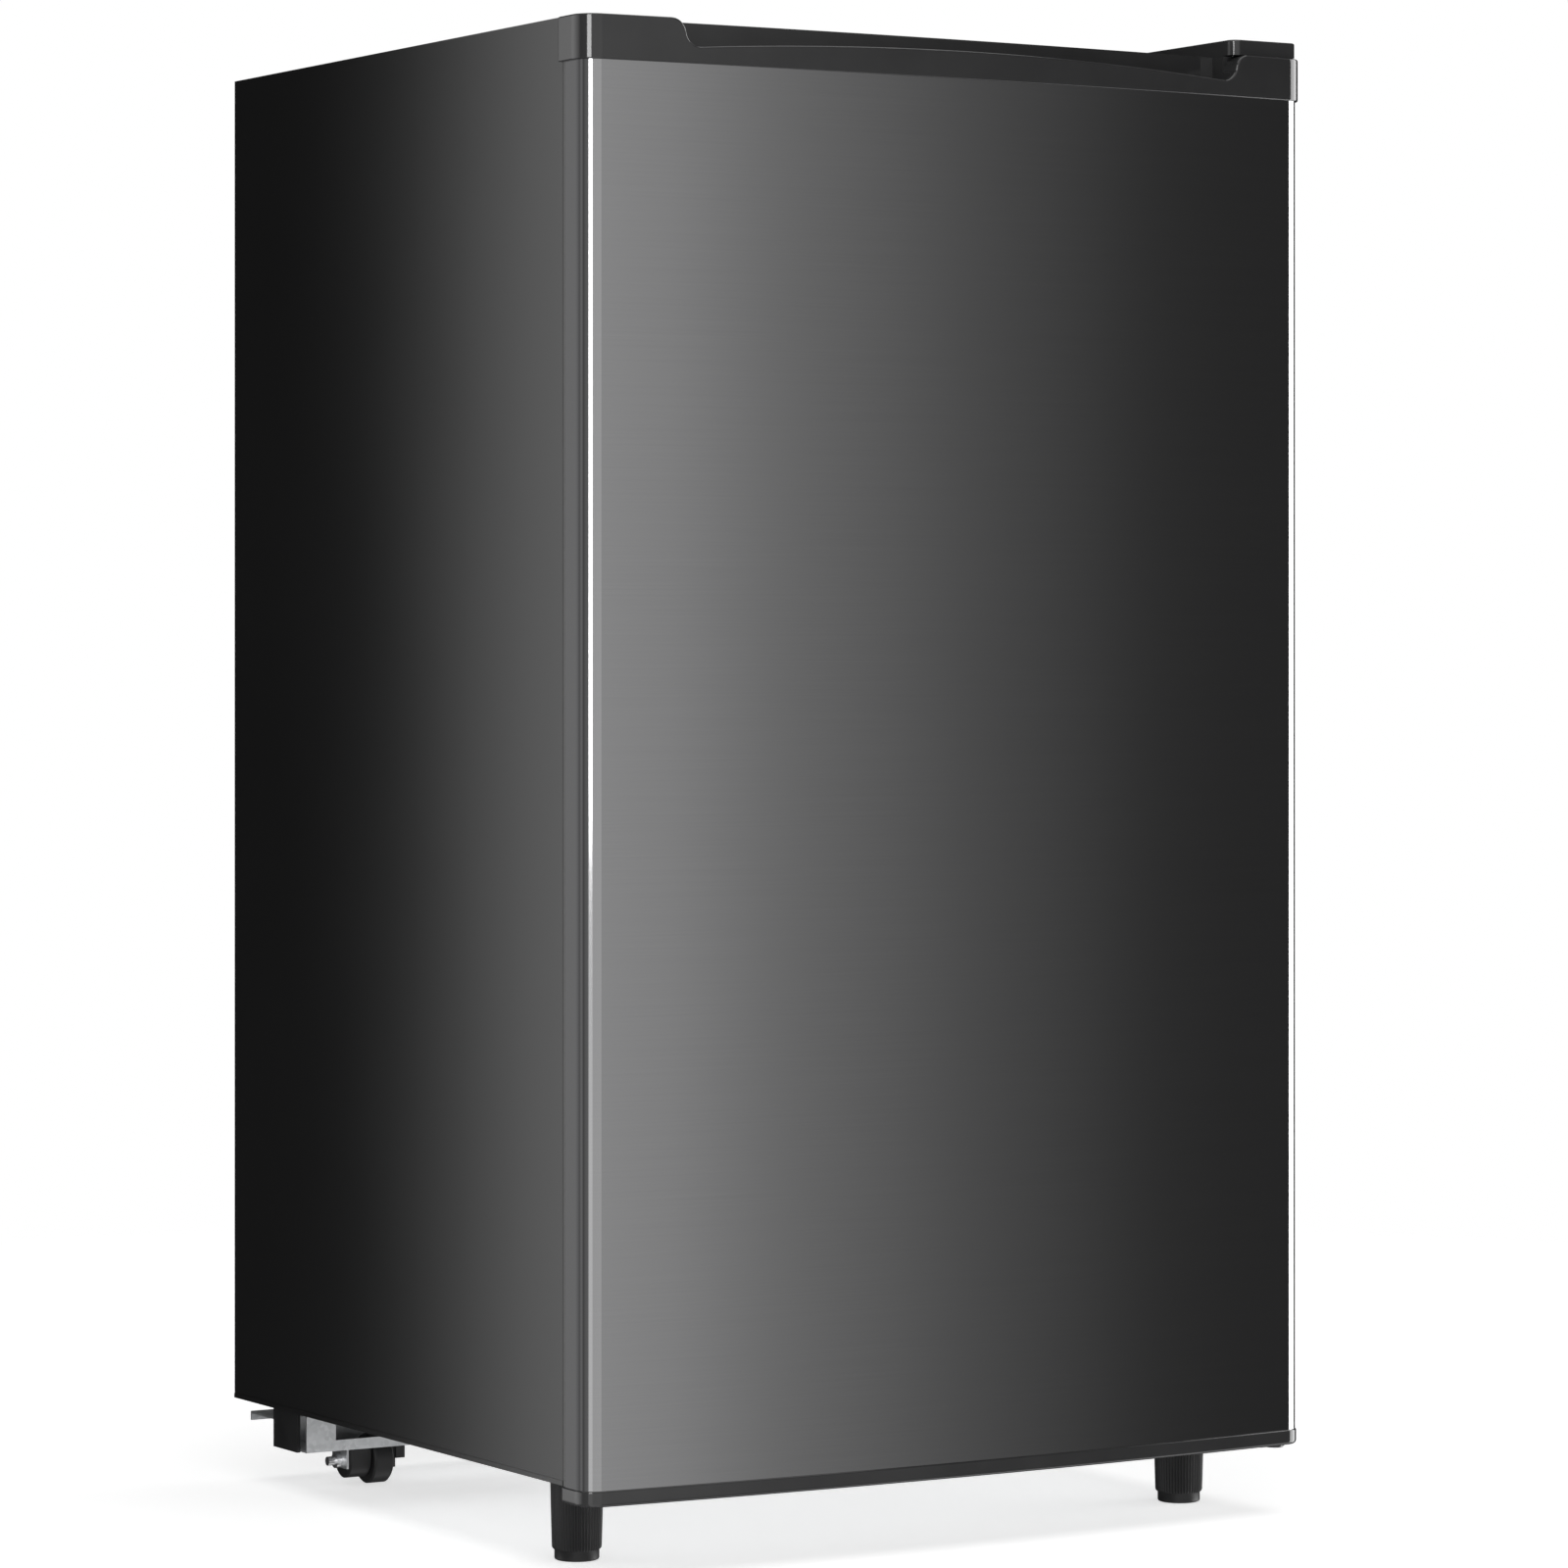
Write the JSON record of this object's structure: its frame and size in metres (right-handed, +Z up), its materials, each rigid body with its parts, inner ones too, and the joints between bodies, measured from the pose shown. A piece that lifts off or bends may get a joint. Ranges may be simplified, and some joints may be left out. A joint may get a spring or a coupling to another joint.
{
  "type": "mini fridge",
  "caption": "Compact single-door refrigerator with bowed door, recessed top grip, levelling feet, rear rollers and a wire condenser on the back.",
  "frame": {"origin": "on the floor, under the middle of the overall bounding box", "axes": "+Z up, the door faces -Y, its hinge is at +X"},
  "size_m": [0.448, 0.47, 0.7963],
  "materials": {
    "cabinet_paint": "satin",
    "door_steel": "satin",
    "black_gloss": "gloss",
    "black_plastic": "matte",
    "white_liner": "satin",
    "white_plastic": "gloss",
    "frosted_plastic": "satin",
    "foam": "matte",
    "seal_rubber": "matte",
    "mount_rubber": "matte",
    "galvanised": "satin",
    "bright_steel": "satin",
    "black_steel": "satin",
    "copper": "satin",
    "aluminium": "satin",
    "shelf_glass": "gloss",
    "lens": "satin",
    "circuit_board": "satin"
  },
  "bodies": {
    "cabinet": {"back_panel": "galvanised", "base_end_caps": "black_plastic", "bottom_panel": "galvanised", "cabinet_foam": "foam", "cabinet_liner": "white_liner", "capillary_tube": "copper", "chiller_frame": "white_plastic", "compressor": "black_steel", "compressor_base": "galvanised", "compressor_bay_panel": "galvanised", "compressor_bolts": "bright_steel", "compressor_mounts": "mount_rubber", "compressor_plate": "galvanised", "condenser_brackets": "black_plastic", "condenser_tube": "black_steel", "condenser_wires": "black_steel", "cord_inlet": "mount_rubber", "discharge_tube": "copper", "drip_tray": "frosted_plastic", "evaporator": "aluminium", "filter_drier": "copper", "foot_sockets": "black_plastic", "hinge_cover": "black_gloss", "hinge_hole_plugs": "black_plastic", "hinge_pins": "bright_steel", "hinge_screws": "bright_steel", "lamp_board": "circuit_board", "lamp_lens": "lens", "left_side_panel": "cabinet_paint", "lower_hinge_plate": "black_steel", "lower_shelf_glass": "shelf_glass", "right_side_panel": "cabinet_paint", "roller_axles": "bright_steel", "roller_brackets": "galvanised", "roller_housings": "black_plastic", "shelf_trims": "white_plastic", "suction_tube": "copper", "terminal_cover": "black_plastic", "thermostat_housing": "white_plastic", "top_panel": "cabinet_paint", "upper_hinge_plate": "bright_steel", "upper_shelf_glass": "shelf_glass", "water_tray": "black_plastic"},
    "door": {"door_panel": "door_steel", "door_top_cap": "black_gloss", "door_bottom_cap": "black_gloss", "door_foam": "foam", "door_liner": "white_liner", "door_gasket": "seal_rubber", "door_hinge_bushes": "white_plastic", "upper_door_rack": "frosted_plastic", "lower_door_rack": "frosted_plastic", "rack_bars": "bright_steel"},
    "chiller_flap": {"chiller_flap": "frosted_plastic"},
    "thermostat_knob": {"thermostat_knob": "white_plastic"},
    "light_switch": {"light_switch": "white_plastic"},
    "left_foot": {"left_foot": "black_plastic"},
    "right_foot": {"right_foot": "black_plastic"},
    "left_roller": {"left_roller": "black_plastic"},
    "right_roller": {"right_roller": "black_plastic"}
  },
  "joints": [
    {"name": "door_hinge", "type": "hinge", "parent": "cabinet", "child": "door", "pos_m": [0.2121, -0.213, 0.4], "axis": [0, 0, 1], "range_deg": [0, 120]},
    {"name": "chiller_flap_hinge", "type": "hinge", "parent": "cabinet", "child": "chiller_flap", "pos_m": [0, -0.088, 0.73], "axis": [-1, 0, 0], "range_deg": [0, 85]},
    {"name": "thermostat_turn", "type": "hinge", "parent": "cabinet", "child": "thermostat_knob", "pos_m": [0.158, -0.097, 0.581], "axis": [-1, 0, 0], "range_deg": [0, 270]},
    {"name": "light_switch_press", "type": "slide", "parent": "cabinet", "child": "light_switch", "axis": [0, -1, 0], "range_m": [0, 0.004]},
    {"name": "left_foot_turn", "type": "hinge", "parent": "cabinet", "child": "left_foot", "pos_m": [-0.1888, -0.1564, 0], "axis": [0, 0, 1], "continuous": true},
    {"name": "right_foot_turn", "type": "hinge", "parent": "cabinet", "child": "right_foot", "pos_m": [0.1888, -0.1564, 0], "axis": [0, 0, 1], "continuous": true},
    {"name": "left_roller_turn", "type": "hinge", "parent": "cabinet", "child": "left_roller", "pos_m": [-0.16, 0.1315, 0.014], "axis": [1, 0, 0], "continuous": true},
    {"name": "right_roller_turn", "type": "hinge", "parent": "cabinet", "child": "right_roller", "pos_m": [0.16, 0.1315, 0.014], "axis": [1, 0, 0], "continuous": true}
  ],
  "couplings": [
    {"joint": "light_switch_press", "follows": "door_hinge", "m_per_rad": 0.0019}
  ]
}
